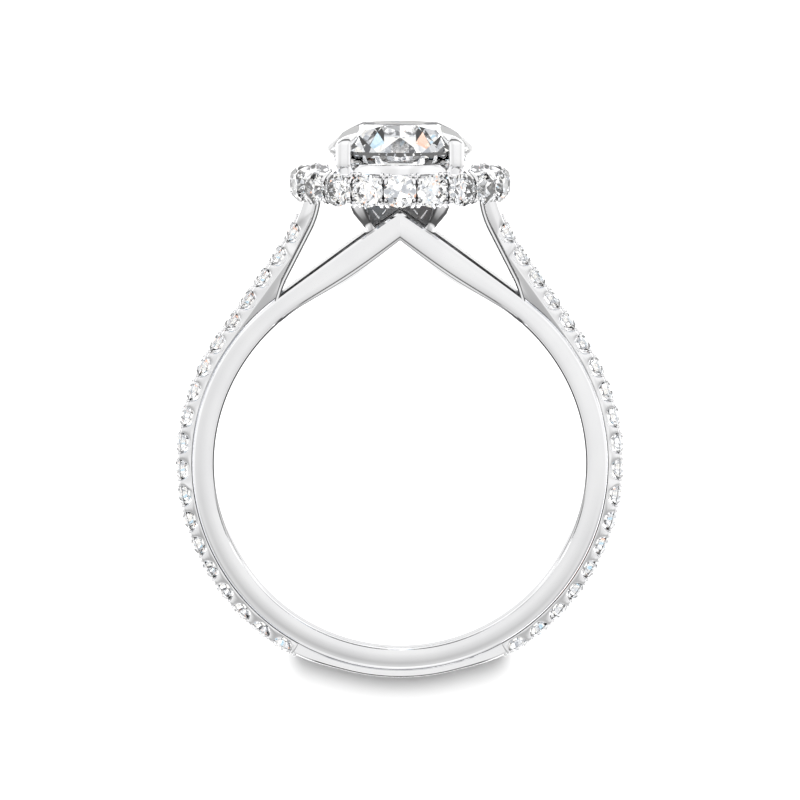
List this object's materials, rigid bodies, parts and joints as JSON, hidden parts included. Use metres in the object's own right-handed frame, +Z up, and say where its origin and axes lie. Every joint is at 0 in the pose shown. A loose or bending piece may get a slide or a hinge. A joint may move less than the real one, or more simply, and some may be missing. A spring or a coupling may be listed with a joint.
{
  "type": "halo ring",
  "caption": "White metal halo ring lying on its side: round centre stone in four claws, ring of small outward-facing stones, pointed plain band between scalloped stone-set rails.",
  "frame": {"origin": "middle of the bounding box's underside, on the surface that the ring lies on", "axes": "+Y runs from the back of the band to the head, +X across the finger hole, +Z up. The ring lies on its side, so the finger's direction leans about ten degrees from +Z."},
  "size_m": [0.0202, 0.025, 0.0099],
  "materials": {
    "white_gold": "polished",
    "diamond": "faceted and polished"
  },
  "bodies": {
    "root": {"ring_mount": "white_gold", "centre_stone": "diamond", "halo_stone_01": "diamond", "halo_stone_02": "diamond", "halo_stone_03": "diamond", "halo_stone_04": "diamond", "halo_stone_05": "diamond", "halo_stone_06": "diamond", "halo_stone_07": "diamond", "halo_stone_08": "diamond", "halo_stone_09": "diamond", "halo_stone_10": "diamond", "halo_stone_11": "diamond", "halo_stone_12": "diamond", "halo_stone_13": "diamond", "halo_stone_14": "diamond", "halo_stone_15": "diamond", "halo_stone_16": "diamond", "halo_stone_17": "diamond", "halo_stone_18": "diamond", "halo_stone_19": "diamond", "halo_stone_20": "diamond"}
  },
  "joints": []
}
